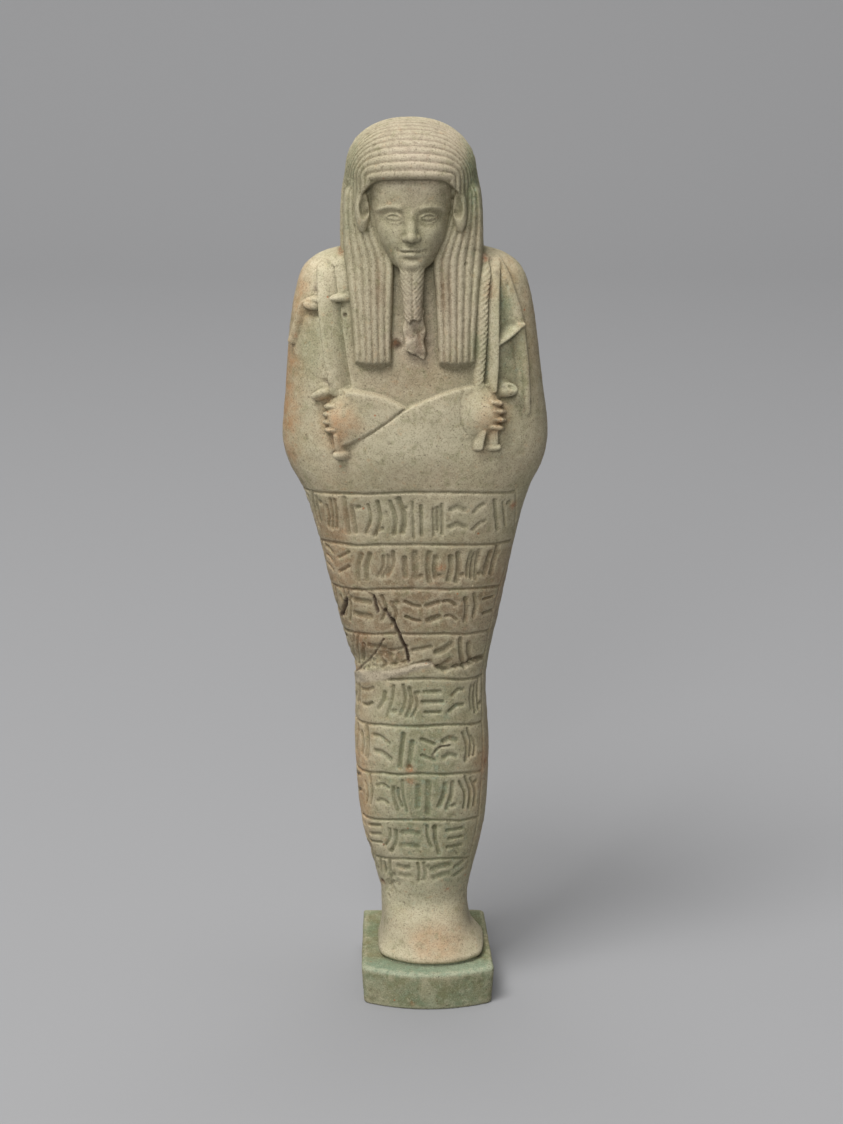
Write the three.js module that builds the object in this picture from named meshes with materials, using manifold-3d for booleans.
// Ushabti: a mummy-shaped funerary figurine of moulded faience, made as one solid piece.
// Millimetres, +Z up. The origin is under the middle of the base, whose underside is z = 0.
// The figure faces -Y. It is modelled upright and then leaned a little towards -X, as it stands.

import * as THREE from "three";
import { ConvexGeometry } from "three/addons/geometries/ConvexGeometry.js";
import { LoftGeometry } from "three/addons/geometries/LoftGeometry.js";
import { mergeVertices } from "three/addons/utils/BufferGeometryUtils.js";
import Module from "manifold-3d";

const wasm = await Module();
wasm.setup();

// ---- Driving dimensions ----

const HEIGHT = 190;
const BASE_HEIGHT = 8.4;
const LEAN_OFFSET = -0.6;
const LEAN_SLOPE = -0.0155;

// Body sections: height, half width, front, back, squareness of the section
const BODY = [
  [7, 9.3, -7.2, 8, 2.2],
  [20, 9.2, -7.5, 8, 2.2],
  [37, 13, -9.2, 10, 2.3],
  [54, 14.2, -10.2, 11, 2.3],
  [71, 13.9, -9.7, 11.1, 2.3],
  [84, 16.7, -10.1, 11.6, 2.3],
  [105, 21.4, -11.4, 13, 2.4],
  [113.5, 24, -12.2, 13.6, 2.5],
  [118.6, 26.5, -12.7, 13.9, 2.5],
  [124, 27.6, -12.9, 14, 2.5],
  [136, 26.5, -12, 14, 2.5],
  [147, 25.4, -10.5, 13.5, 2.5],
  [155, 24, -9.2, 12.8, 2.4],
  [159.4, 22.3, -8, 12, 2.3],
  [162, 19.2, -6.8, 11, 2.2],
  [163.8, 14.6, -5.4, 9.6, 2.2],
];
const FRONT_SIDES = 16;
const BACK_SIDES = 8;
const BODY_MIDDLE = 1.5;

// Nine rows are ruled round the front of the body. A line sags towards the sides.
const ROW_LINES = [31.7, 41, 52, 62.9, 73.3, 83.6, 93.6, 103.5, 115.1];
const LAST_ROW_FOOT = 25.3;
const LINE_DEPTH = 0.45;
const LINE_HALF_WIDTH = 0.5;
const LINE_SAG = 1.6;
const STROKE_DEPTH = 0.5;
const STROKE_WIDTH = 0.85;
const STROKE_SPACING = 7;

// Feet sections: height, half width, front, back, squareness, offset along X
const FEET = [
  [7.6, 11.2, -12.9, 7, 3, 1.6],
  [10.2, 11.5, -13, 7, 3, 1.6],
  [11.2, 11.2, -12.5, 7, 3, 1.5],
  [14, 10.5, -11.3, 7, 2.7, 1.1],
  [18, 9.5, -9.3, 7, 2.4, 0.5],
  [22, 8.4, -6.6, 7, 2.2, 0],
];
const FEET_SIDES = 20;

// Base: corners of its top edge; the front bulges forward between them
const BASE_LEFT = -14.3;
const BASE_RIGHT_FRONT = 14.6;
const BASE_RIGHT_BACK = 12.9;
const BASE_FRONT = -13.1;
const BASE_BACK = 16.7;
const BASE_BULGE = 3.8;
const BASE_TAPER = 0.6;
const BASE_EDGE = 0.5;

const PILLAR_WIDTH = 13;
const PILLAR_BACK = 16.4;
const PILLAR_TOP = 151;
const PILLAR_SLOPE = 4;

// Hair that falls behind the shoulders: height, half width, front, back, squareness
const FALL = [
  [144, 12.4, -5, 11.6, 2.6],
  [159, 14.5, -6, 14, 2.6],
  [173, 14.4, -6.4, 14.7, 2.6],
  [181, 11.6, -5.6, 13, 2.6],
];
const FALL_FRONT_SIDES = 28;
const RIDGE_DEPTH = 0.4;

// Crown of the wig, from the hairline up, and the shoulder of hair under it at the temples
const HAIRLINE = 179.8;
const CROWN_HALF_WIDTH = 13.3;
const CROWN_FRONT = -13.7;
const CROWN_BACK = 14.4;
const CROWN_MIDDLE = 1.6;
const CROWN_POWER = 0.8;
const CROWN_BANDS = 10;
const BAND_DEPTH = 0.5;
const TOP_TURN = 0.488 * Math.PI;
const TEMPLES = [
  [171, 12.6, -6.8, 13, 2.6],
  [175.5, 13.9, -8.6, 14.3, 2.5],
  [HAIRLINE - 0.5, 13.4, -12.2, 14.5, 2.4],
];

// Front panels of the wig: height, inner edge, outer edge, front at the inner edge and at the outer
const LAPPET = [
  [142.8, 4.7, 12.4, -12.7, -11.4],
  [150, 4.6, 12.7, -12.3, -10.8],
  [157, 4.3, 13.3, -11.6, -9.6],
  [163, 4.2, 13.9, -10.6, -7.6],
  [169, 6.6, 14.2, -9.2, -6.9],
  [176, 8.6, 13.7, -8.3, -7],
  [179.6, 9.2, 12, -7.4, -6.4],
];
const LAPPET_RIDGES = 6;
const LAPPET_SHIFT = 0.3;
const LAPPET_BULGE = 0.9;
const LAPPET_BEVEL = 1.9;
const LAPPET_BACK = 1;

// Head: height, half width, front, back, squareness. Its features stand in thirds of its height.
const CHIN = 161.6;
const HEAD = [
  [CHIN - 1, 2.4, -11.4, 0, 2],
  [CHIN, 4.2, -12.8, 0, 2.1],
  [CHIN + 2.2, 6, -13.2, 0, 2.3],
  [CHIN + 5.4, 7.5, -13, 0, 2.4],
  [CHIN + 9, 8.4, -12.8, 0, 2.5],
  [CHIN + 13, 8.8, -12.7, 0, 2.6],
  [CHIN + 18.6, 8.7, -12.6, 0, 2.6],
];
const HEAD_SIDES = 20;
const FACE_THIRD = (HAIRLINE - CHIN) / 3;
const EYE_WIDTH = 3.5;
const EAR_HEIGHT = 7.8;
const EAR_X = 10.2;

const BEARD_TOP_HALF = 2.5;
const BEARD_END_HALF = 1.9;
const BEARD_END = 152.3;
const BEARD_PLAITS = 6;
const BEARD_SIDES = 8;
const SCAR_END = 144;

const GLAZE = { color: 0xb4ad97, roughness: 0.72, metalness: 0 };

// ---- Geometry helpers ----

// Moves a point of the upright figure to where it stands on the base
const LEAN = new THREE.Matrix4().set(1, 0, LEAN_SLOPE, LEAN_OFFSET, 0, 1, 0, 0, 0, 0, 1, 0, 0, 0, 0, 1);

// Six times the volume inside a closed mesh, negative where its faces point inwards
function signedVolume(position, corners) {
  const [a, b, c] = [new THREE.Vector3(), new THREE.Vector3(), new THREE.Vector3()];
  let total = 0;
  for (let corner = 0; corner < corners.length; corner += 3) {
    a.fromBufferAttribute(position, corners[corner]);
    b.fromBufferAttribute(position, corners[corner + 1]);
    c.fromBufferAttribute(position, corners[corner + 2]);
    total += a.dot(b.cross(c));
  }
  return total;
}

// Joins the vertices that meet, drops the faces that this closes up and makes a solid of the rest
function asSolid(geometry) {
  const bare = new THREE.BufferGeometry();
  bare.setAttribute("position", geometry.getAttribute("position"));
  bare.setIndex(geometry.getIndex());
  const { attributes, index } = mergeVertices(bare, 1e-4);
  const kept = [];
  for (let corner = 0; corner < index.count; corner += 3) {
    const face = index.array.slice(corner, corner + 3);
    if (new Set(face).size === 3) {
      kept.push(...face);
    }
  }
  const corners = Uint32Array.from(kept);
  if (signedVolume(attributes.position, corners) < 0) {
    corners.reverse();
  }
  return new wasm.Manifold(new wasm.Mesh({
    numProp: 3,
    vertProperties: Float32Array.from(attributes.position.array),
    triVerts: corners,
  }));
}

function asGeometry(solid) {
  const mesh = solid.getMesh();
  const geometry = new THREE.BufferGeometry();
  geometry.setAttribute("position", new THREE.BufferAttribute(Float32Array.from(mesh.vertProperties), 3));
  geometry.setIndex(Array.from(mesh.triVerts));
  geometry.computeVertexNormals();
  return geometry;
}

function closedLoft(sections) {
  return new LoftGeometry(sections, { capStart: true, capEnd: true });
}

// A smooth curve through each column of a table of stations, read at any height
function columns(stations) {
  const heights = stations.map((station) => station[0]);
  const values = stations.flatMap((station) => station.slice(1));
  const curve = new THREE.CubicInterpolant(heights, values, stations[0].length - 1);
  return (height) => Array.from(curve.evaluate(height));
}

// One point of a section that is half as wide as `half` and runs from `front` to `back`
function sectionPoint(angle, height, [half, front, back, power, offset = 0], middle, inset = 0) {
  const across = Math.cos(angle);
  const along = Math.sin(angle);
  const reach = along < 0 ? middle - front : back - middle;
  const x = Math.sign(across) * Math.abs(across) ** (2 / power) * (half - inset);
  const y = Math.sign(along) * Math.abs(along) ** (2 / power) * (reach - inset);
  return new THREE.Vector3(x + offset, y + middle, height);
}

function sectionRing(sides, pointAt) {
  return Array.from({ length: sides }, (_, side) => pointAt((side / sides) * 2 * Math.PI));
}

// A ring with more points round its front than round its plainer back
function frontedRing(pointAt, frontSides = FRONT_SIDES) {
  const back = Array.from({ length: BACK_SIDES }, (_, side) => (side / BACK_SIDES) * Math.PI);
  const front = Array.from({ length: frontSides }, (_, side) => (1 + side / frontSides) * Math.PI);
  return [...back, ...front].map(pointAt);
}

function stackedSections(stations, sides, middle) {
  return closedLoft(stations.map(([height, ...shape]) =>
    sectionRing(sides, (angle) => sectionPoint(angle, height, shape, middle))));
}

function ellipsoid(centre, radii, around = 12, down = 8) {
  const geometry = new THREE.SphereGeometry(1, around, down);
  geometry.scale(...radii);
  geometry.translate(...centre);
  return geometry;
}

// The same form on the other side of the figure; it turns the geometry itself over
function mirrored(geometry) {
  return geometry.scale(-1, 1, 1);
}

// ---- Body ----

const bodyAt = columns(BODY);

function bodyFront(x, z) {
  const [half, front, , power] = bodyAt(z);
  const reach = Math.min(Math.abs(x / half), 0.999);
  return BODY_MIDDLE - (BODY_MIDDLE - front) * (1 - reach ** power) ** (1 / power);
}

function bodyBack(x, z) {
  const [half, , back, power] = bodyAt(z);
  const reach = Math.min(Math.abs(x / half), 0.999);
  return BODY_MIDDLE + (back - BODY_MIDDLE) * (1 - reach ** power) ** (1 / power);
}

function bodyNormal(x, z, surface = bodyFront) {
  const step = 0.1;
  const slopeX = (surface(x + step, z) - surface(x - step, z)) / (2 * step);
  const slopeZ = (surface(x, z + step) - surface(x, z - step)) / (2 * step);
  const facing = surface === bodyFront ? 1 : -1;
  return new THREE.Vector3(slopeX, -1, slopeZ).multiplyScalar(facing).normalize();
}

// A ruled line is a ring pressed into the front, between two rings that aren't
function bodyRing(height, depth, sag) {
  return frontedRing((angle) => {
    const frontness = THREE.MathUtils.smoothstep(-Math.sin(angle), -0.1, 0.2);
    const sagged = height - sag * Math.cos(angle) ** 2 * frontness;
    return sectionPoint(angle, sagged, bodyAt(sagged), BODY_MIDDLE, depth * frontness);
  });
}

function body() {
  const rings = BODY.map(([height]) => ({ height, depth: 0, sag: 0 }));
  const clear = rings.filter(({ height }) =>
    ROW_LINES.every((line) => Math.abs(line - height) > 3 * LINE_HALF_WIDTH + LINE_SAG));
  const lines = ROW_LINES.flatMap((line) => [-1, 0, 1].map((side) => ({
    height: line + side * LINE_HALF_WIDTH,
    depth: side === 0 ? LINE_DEPTH : 0,
    sag: LINE_SAG,
  })));
  const ordered = [...clear, ...lines].sort((a, b) => a.height - b.height);
  return closedLoft(ordered.map(({ height, depth, sag }) => bodyRing(height, depth, sag)));
}

// A strip that follows the body along a path of [x, z] points. Its profile is a closed outline of
// [across, above the surface] points.
function strip(path, steps, profile, surface = bodyFront) {
  const route = new THREE.SplineCurve(path.map(([x, z]) => new THREE.Vector2(x, z)));
  const sections = Array.from({ length: steps + 1 }, (_, step) => {
    const { x, y: z } = route.getPoint(step / steps);
    const onward = route.getTangent(step / steps);
    const foot = new THREE.Vector3(x, surface(x, z), z);
    const outward = bodyNormal(x, z, surface);
    const forward = new THREE.Vector3(onward.x, 0, onward.y);
    const across = new THREE.Vector3().crossVectors(outward, forward).normalize();
    return profile(step / steps).map(([side, above]) =>
      foot.clone().addScaledVector(across, side).addScaledVector(outward, above));
  });
  return closedLoft(sections);
}

// A rounded bead, sunk into the surface so that it joins it
function bead(width, rise, sunk = 0.8) {
  const arch = Array.from({ length: 4 }, (_, corner) => (corner / 3) * Math.PI)
    .map((turn) => [Math.cos(turn) * width / 2, Math.sin(turn) * rise]);
  return [...arch, [0, -sunk]];
}

function groove(width, depth) {
  const clearOfSurface = 1.2;
  return [[width / 2, clearOfSurface], [-width / 2, clearOfSurface], [0, -depth]];
}

// A patch between four [x, z] corners that stands above the body by height(along, up)
function patch([lowStart, lowEnd, highEnd, highStart], alongSteps, upSteps, height, surface = bodyFront) {
  const sunk = 1.5;
  const sections = Array.from({ length: upSteps + 1 }, (_, row) => {
    const up = row / upSteps;
    const top = [];
    const bottom = [];
    for (let column = 0; column <= alongSteps; column += 1) {
      const along = column / alongSteps;
      const lowX = THREE.MathUtils.lerp(lowStart[0], lowEnd[0], along);
      const highX = THREE.MathUtils.lerp(highStart[0], highEnd[0], along);
      const lowZ = THREE.MathUtils.lerp(lowStart[1], lowEnd[1], along);
      const highZ = THREE.MathUtils.lerp(highStart[1], highEnd[1], along);
      const x = THREE.MathUtils.lerp(lowX, highX, up);
      const z = THREE.MathUtils.lerp(lowZ, highZ, up);
      const foot = new THREE.Vector3(x, surface(x, z), z);
      const outward = bodyNormal(x, z, surface);
      top.push(foot.clone().addScaledVector(outward, height(along, up)));
      bottom.unshift(foot.clone().addScaledVector(outward, -sunk));
    }
    return surface === bodyFront ? [...top, ...bottom] : [...top.reverse(), ...bottom.reverse()];
  });
  return closedLoft(sections);
}

// ---- Text rows: plain strokes in place of the signs ----

// Each kind is a few separate strokes, as [from x, from z, to x, to z] in a cell one unit high
const STROKE_KINDS = [
  [[0, 0.18, 0, 0.82]],
  [[-0.28, 0.2, 0.28, 0.8]],
  [[-0.28, 0.32, 0.28, 0.36]],
  [[-0.14, 0.34, -0.14, 0.84], [0.16, 0.16, 0.16, 0.6]],
  [[-0.26, 0.7, 0.26, 0.66]],
];

function strokeCutters() {
  const cutters = [];
  const feet = [LAST_ROW_FOOT, ...ROW_LINES.slice(0, -1)];
  feet.forEach((foot, row) => {
    const tall = ROW_LINES[row] - foot;
    const reach = bodyAt(foot + tall / 2)[0] * 0.78;
    const cells = Math.round((2 * reach) / STROKE_SPACING);
    for (let cell = 0; cell < cells; cell += 1) {
      const centre = ((cell + 0.5) / cells - 0.5) * 2 * reach;
      const kind = STROKE_KINDS[(row * 3 + cell * 2 + (row % 2) * cell) % STROKE_KINDS.length];
      for (const [fromX, fromZ, toX, toZ] of kind) {
        const size = Math.min(tall, 9.5);
        const path = [
          [centre + fromX * size, foot + fromZ * tall],
          [centre + toX * size, foot + toZ * tall],
        ];
        cutters.push(strip(path, 1, () => groove(STROKE_WIDTH, STROKE_DEPTH)));
      }
    }
  });
  return cutters;
}

// ---- Feet, base and back pillar ----

function feet() {
  return stackedSections(FEET, FEET_SIDES, 0);
}

function baseRing(height, inset) {
  const taper = BASE_TAPER * (1 - height / BASE_HEIGHT);
  const left = BASE_LEFT + taper + inset;
  const front = BASE_FRONT + inset;
  const rightFront = BASE_RIGHT_FRONT - taper - inset;
  const rightBack = BASE_RIGHT_BACK - taper - inset;
  const bulge = new THREE.QuadraticBezierCurve(
    new THREE.Vector2(left, front),
    new THREE.Vector2((left + rightFront) / 2, front - 2 * BASE_BULGE),
    new THREE.Vector2(rightFront, front),
  );
  const corners = [
    ...bulge.getPoints(8),
    new THREE.Vector2(rightBack, BASE_BACK - inset),
    new THREE.Vector2(left, BASE_BACK - inset),
  ];
  return corners.map(({ x, y }) => new THREE.Vector3(x, y, height));
}

function base() {
  return closedLoft([
    baseRing(0, BASE_EDGE),
    baseRing(BASE_EDGE, 0),
    baseRing(BASE_HEIGHT - BASE_EDGE, 0),
    baseRing(BASE_HEIGHT, BASE_EDGE),
  ]);
}

function pillar() {
  const side = new THREE.Shape([
    new THREE.Vector2(0, BASE_HEIGHT - 2),
    new THREE.Vector2(PILLAR_BACK, BASE_HEIGHT - 2),
    new THREE.Vector2(PILLAR_BACK, PILLAR_TOP - PILLAR_SLOPE),
    new THREE.Vector2(PILLAR_BACK - PILLAR_SLOPE, PILLAR_TOP),
    new THREE.Vector2(0, PILLAR_TOP),
  ]);
  const geometry = new THREE.ExtrudeGeometry(side, { depth: PILLAR_WIDTH, bevelEnabled: false });
  const axes = new THREE.Matrix4().makeBasis(
    new THREE.Vector3(0, 1, 0),
    new THREE.Vector3(0, 0, 1),
    new THREE.Vector3(1, 0, 0),
  );
  return geometry.applyMatrix4(axes).translate(-PILLAR_WIDTH / 2, 0, 0);
}

// ---- Wig ----

function hairFall() {
  return closedLoft(FALL.map(([height, ...shape]) =>
    frontedRing((angle, side) => {
      const inset = side > BACK_SIDES && side % 2 ? RIDGE_DEPTH : 0;
      return sectionPoint(angle, height, shape, 0, inset);
    }, FALL_FRONT_SIDES)));
}

// A crown section at a turn from 0, the hairline, to a quarter circle, the top
function crownRing(turn, inset) {
  const spread = Math.cos(turn) ** CROWN_POWER;
  const height = HAIRLINE + (HEIGHT - HAIRLINE) * Math.sin(turn);
  const front = CROWN_MIDDLE + (CROWN_FRONT - CROWN_MIDDLE) * spread;
  const back = CROWN_MIDDLE + (CROWN_BACK - CROWN_MIDDLE) * spread;
  const shape = [CROWN_HALF_WIDTH * spread, front, back, 2.4];
  return frontedRing((angle) =>
    sectionPoint(angle, height, shape, CROWN_MIDDLE, Math.sin(angle) < -0.1 ? inset : 0));
}

function crown() {
  const temples = TEMPLES.map(([height, ...shape]) =>
    frontedRing((angle) => sectionPoint(angle, height, shape, 0)));
  const bands = Array.from({ length: CROWN_BANDS * 2 }, (_, step) => {
    const turn = (step / (CROWN_BANDS * 2)) * Math.PI / 2;
    return crownRing(turn, step % 2 ? 0 : BAND_DEPTH);
  });
  const top = crownRing(TOP_TURN, 0);
  return closedLoft([...temples, ...bands, top]);
}

function lappet() {
  const crests = LAPPET_RIDGES * 2;
  const sections = LAPPET.map(([height, inner, outer, frontInner, frontOuter], station) => {
    const drop = station === 0 ? LAPPET_BEVEL : 0;
    const ring = [];
    for (let step = 0; step <= crests; step += 1) {
      const across = step / crests;
      const inset = step % 2 ? 0 : RIDGE_DEPTH;
      const bulge = LAPPET_BULGE * (2 * across - 1) ** 2;
      const y = THREE.MathUtils.lerp(frontInner, frontOuter, across) + bulge + inset;
      ring.push(new THREE.Vector3(THREE.MathUtils.lerp(inner, outer, across), y, height));
    }
    ring.push(new THREE.Vector3(outer, LAPPET_BACK, height - drop));
    ring.push(new THREE.Vector3(inner, LAPPET_BACK, height - drop));
    return ring;
  });
  return closedLoft(sections);
}

// ---- Head ----

function nose() {
  const root = CHIN + 2 * FACE_THIRD - 0.6;
  const foot = CHIN + FACE_THIRD;
  const half = EYE_WIDTH / 2;
  const points = [
    [0.7, -12.3, root], [-0.7, -12.3, root], [0, -13.2, root - 0.4],
    [half, -12.2, foot + 0.5], [-half, -12.2, foot + 0.5],
    [0.75, -15, foot + 0.9], [-0.75, -15, foot + 0.9], [0, -15.2, foot + 1.2],
    [half * 0.8, -13.3, foot], [-half * 0.8, -13.3, foot],
  ];
  return new ConvexGeometry(points.map((point) => new THREE.Vector3(...point)));
}

function faceFeatures() {
  const eyeHeight = CHIN + 2 * FACE_THIRD - 1.5;
  const mouthHeight = CHIN + (FACE_THIRD * 2) / 3;
  const features = [
    nose(),
    ellipsoid([0, -13.1, mouthHeight + 0.42], [2.5, 0.7, 0.5], 8, 4),
    ellipsoid([0, -13.1, mouthHeight - 0.5], [2.1, 0.75, 0.55], 8, 4),
    ellipsoid([0, -12.6, CHIN + 1.3], [2.2, 1, 1.3], 8, 4),
  ];
  for (const side of [-1, 1]) {
    const eye = ellipsoid([0, 0, 0], [EYE_WIDTH / 2, 0.6, 0.8], 8, 4);
    eye.rotateZ(side * 0.22);
    features.push(eye.translate(side * EYE_WIDTH, -12.1, eyeHeight));
    const brow = ellipsoid([0, 0, 0], [2.1, 0.5, 0.4], 8, 4).rotateZ(side * 0.28).rotateY(side * 0.06);
    features.push(brow.translate(side * 3.6, -12.35, eyeHeight + 1.9));
  }
  return features;
}

function ear() {
  const height = CHIN + 2 * FACE_THIRD;
  const shell = asSolid(ellipsoid([EAR_X, -6.8, height], [1.9, 1.9, EAR_HEIGHT / 2], 8, 6));
  const hollow = asSolid(ellipsoid([EAR_X - 0.3, -8.7, height + 0.7], [0.9, 1.1, 2.1], 6, 4));
  return asGeometry(shell.subtract(hollow));
}

function throat() {
  const stations = [
    [150, 5.5, -9, 0, 2.2],
    [157, 5, -9.2, 0, 2.2],
    [163, 4.8, -8.8, 0, 2.2],
    [166, 4.8, -8.8, 0, 2.2],
  ];
  return stackedSections(stations, 12, 0);
}

// ---- Beard: plaited, its lower end broken off and leaving a scar on the chest ----

function beard() {
  const top = CHIN + 0.6;
  const rings = Array.from({ length: BEARD_PLAITS * 2 + 1 }, (_, step) => {
    const share = step / (BEARD_PLAITS * 2);
    const height = THREE.MathUtils.lerp(BEARD_END, top, share);
    const half = THREE.MathUtils.lerp(BEARD_END_HALF, BEARD_TOP_HALF, share);
    const front = THREE.MathUtils.lerp(-13.9, -13.3, share);
    const shape = [half, front, -8, 2.4];
    return sectionRing(BEARD_SIDES, (angle) => {
      const point = sectionPoint(angle, height, shape, -11, step % 2 ? 0.28 : 0);
      const chevron = step === 0 ? 0 : 0.5 * Math.abs(point.x);
      return point.setZ(point.z + chevron);
    });
  });
  return closedLoft(rings);
}

function scar() {
  const corners = [[-2, SCAR_END], [2.2, SCAR_END + 0.6], [2.3, BEARD_END + 1], [-2.3, BEARD_END + 1]];
  const rough = (along, up) => 0.9 + 0.9 * up + 0.35 * Math.sin(9 * along + 7 * up) * Math.cos(11 * up);
  return patch(corners, 4, 5, rough);
}

// ---- Arms and hands: the wrapped forearms cross, and only the fists come out ----

const CROSSING = [-1.3, 133.5];
const LEFT_FIST = [-13, 131.9];
const RIGHT_FIST = [13.3, 132.8];

function forearms() {
  const under = [[-9.4, 127.4], [-1, 132.6], CROSSING, [-9.8, 138.1]];
  const over = [[-6, 118.4], [16, 121.5], [9, 137.3], [-9, 126.6]];
  return [
    patch(under, 5, 3, (along, up) => 1 - 0.5 * along + 0.25 * Math.sin(Math.PI * up) * (1 - along)),
    patch(over, 5, 3, (along, up) => -0.25 + 1.3 * THREE.MathUtils.smoothstep(up, 0, 0.75)),
  ];
}

function onBody([x, z], above) {
  const outward = bodyNormal(x, z);
  return new THREE.Vector3(x, bodyFront(x, z), z).addScaledVector(outward, above);
}

// A fist as a mound with knuckles down its outer edge and the ends of what it holds below
function fist([x, z], outwardSide, halfWidth, halfHeight, pegs) {
  const centre = onBody([x, z], 0.3);
  const mound = ellipsoid(centre.toArray(), [halfWidth, 2.5, halfHeight], 10, 7);
  const parts = [mound];
  for (let finger = 0; finger < 4; finger += 1) {
    const height = z + halfHeight * (0.62 - 0.42 * finger);
    const knuckle = ellipsoid([0, 0, 0], [1.6, 1, 0.95], 6, 4).rotateZ(outwardSide * 0.5);
    const place = onBody([x + outwardSide * halfWidth * 0.8, height], 1.1);
    parts.push(knuckle.translate(...place.toArray()));
  }
  for (const [pegX, pegEnd] of pegs) {
    parts.push(strip([[pegX, z - halfHeight + 0.8], [pegX, pegEnd]], 3, () => bead(1.9, 1.7)));
  }
  return parts;
}

// ---- Tools: a hoe in each hand, and the cord of a seed bag over the figure's left shoulder ----

function straightBead(path, width, rise, steps = 3) {
  return strip(path, steps, () => bead(width, rise));
}

function tools() {
  const twist = (share) => bead(1.5, 1 + 0.3 * Math.cos(share * 2 * Math.PI * 6));
  return [
    straightBead([[-18.1, 161.6], [-17, 153], [-15.4, 144], [-13.9, 135.5]], 2.6, 1.3),
    straightBead([[-13.2, 155.9], [-16, 155.6], [-19.5, 155.4], [-22.2, 154]], 2, 1.5),
    straightBead([[-21.8, 154.5], [-23.4, 151], [-24.3, 146.8]], 1.1, 0.9, 3),
    straightBead([[-16.2, 137.4], [-20.2, 138]], 2, 1.6, 2),
    strip([[13.7, 162.6], [13.6, 152], [13, 143], [12.8, 136]], 12, twist),
    straightBead([[16.4, 161.6], [15.9, 150], [15.3, 136]], 1.7, 1.2),
    straightBead([[17.6, 161], [20, 155.5], [21.9, 149], [22.9, 140], [23.3, 128.6]], 1.2, 0.9, 7),
    straightBead([[16, 145.8], [19, 147.4], [21.8, 149.6]], 1.3, 1.2, 3),
    straightBead([[18.2, 136.6], [19.6, 139.6]], 2.6, 1.9, 2),
  ];
}

function seedBag() {
  const corners = [[13.4, 139], [20.4, 139.6], [19.4, 151], [14.6, 151]];
  const cord = [[16.8, 150], [17.2, 156], [17.4, 160.6]];
  const plump = (along, up) => 0.5 + 1.1 * Math.sin(Math.PI * along) * Math.sin(Math.PI * (0.15 + 0.7 * up));
  return [
    patch(corners, 3, 3, plump, bodyBack),
    strip(cord, 3, () => bead(1.4, 0.9), bodyBack),
  ];
}

// ---- Damage: the break across the knees, mended, with lost surface and cracks above it ----

const BREAK_LINE = [
  [-16.6, 71], [-13.6, 72.6], [-10.6, 76], [-5.4, 78], [1.4, 79.4], [6.6, 76.7], [10.8, 77.3], [16.6, 77.2],
];
const CRACK_LINE = [[-7.4, 94.6], [-5.8, 91], [-4.8, 87.8], [-3.4, 83.8], [-1.6, 79.6]];
const GASH_LINE = [[-15, 92.4], [-15.9, 89.6], [-16.6, 87]];

function damage() {
  const loss = (along, up) => -0.1 - 0.55 * Math.sin(Math.PI * along) * Math.sin(Math.PI * up);
  const lostFlakes = [
    [[-10.6, 79.4], [3.4, 1.1, 2.4]],
    [[-6, 81], [2.8, 0.9, 2]],
    [[8, 78.4], [2.8, 0.8, 1.3]],
  ];
  return [
    strip(BREAK_LINE, 14, (share) => groove(1.7 + loss(share, 0.5), 0.8)),
    strip(CRACK_LINE, 6, () => groove(1, 0.9)),
    strip(GASH_LINE, 3, () => groove(1.3, 1)),
    ...lostFlakes.map(([place, radii]) => ellipsoid(onBody(place, 0.25).toArray(), radii, 10, 6)),
  ];
}

// ---- Assembly ----

function figure() {
  const joined = [
    feet(),
    pillar(),
    hairFall(),
    crown(),
    lappet().translate(LAPPET_SHIFT, 0, 0),
    mirrored(lappet()).translate(LAPPET_SHIFT, 0, 0),
    stackedSections(HEAD, HEAD_SIDES, 0),
    ...faceFeatures(),
    ear(),
    mirrored(ear()),
    throat(),
    beard(),
    scar(),
    ...forearms(),
    ...fist(LEFT_FIST, -1, 4, 4.6, [[-14.3, 122.4]]),
    ...fist(RIGHT_FIST, 1, 4.5, 5, [[12.4, 124.4], [14.9, 124.6]]),
    ...tools(),
    ...seedBag(),
  ];
  let solid = asSolid(body());
  for (const geometry of joined) {
    solid = solid.add(asSolid(geometry));
  }
  for (const cutter of [...strokeCutters(), ...damage()]) {
    solid = solid.subtract(asSolid(cutter));
  }
  return solid;
}

function ushabti() {
  const standing = asSolid(asGeometry(figure()).applyMatrix4(LEAN));
  const whole = standing.add(asSolid(base()));
  const mesh = new THREE.Mesh(asGeometry(whole), new THREE.MeshStandardMaterial(GLAZE));
  mesh.name = "ushabti";
  return mesh;
}

const model = new THREE.Group();
model.add(ushabti());

export default model;
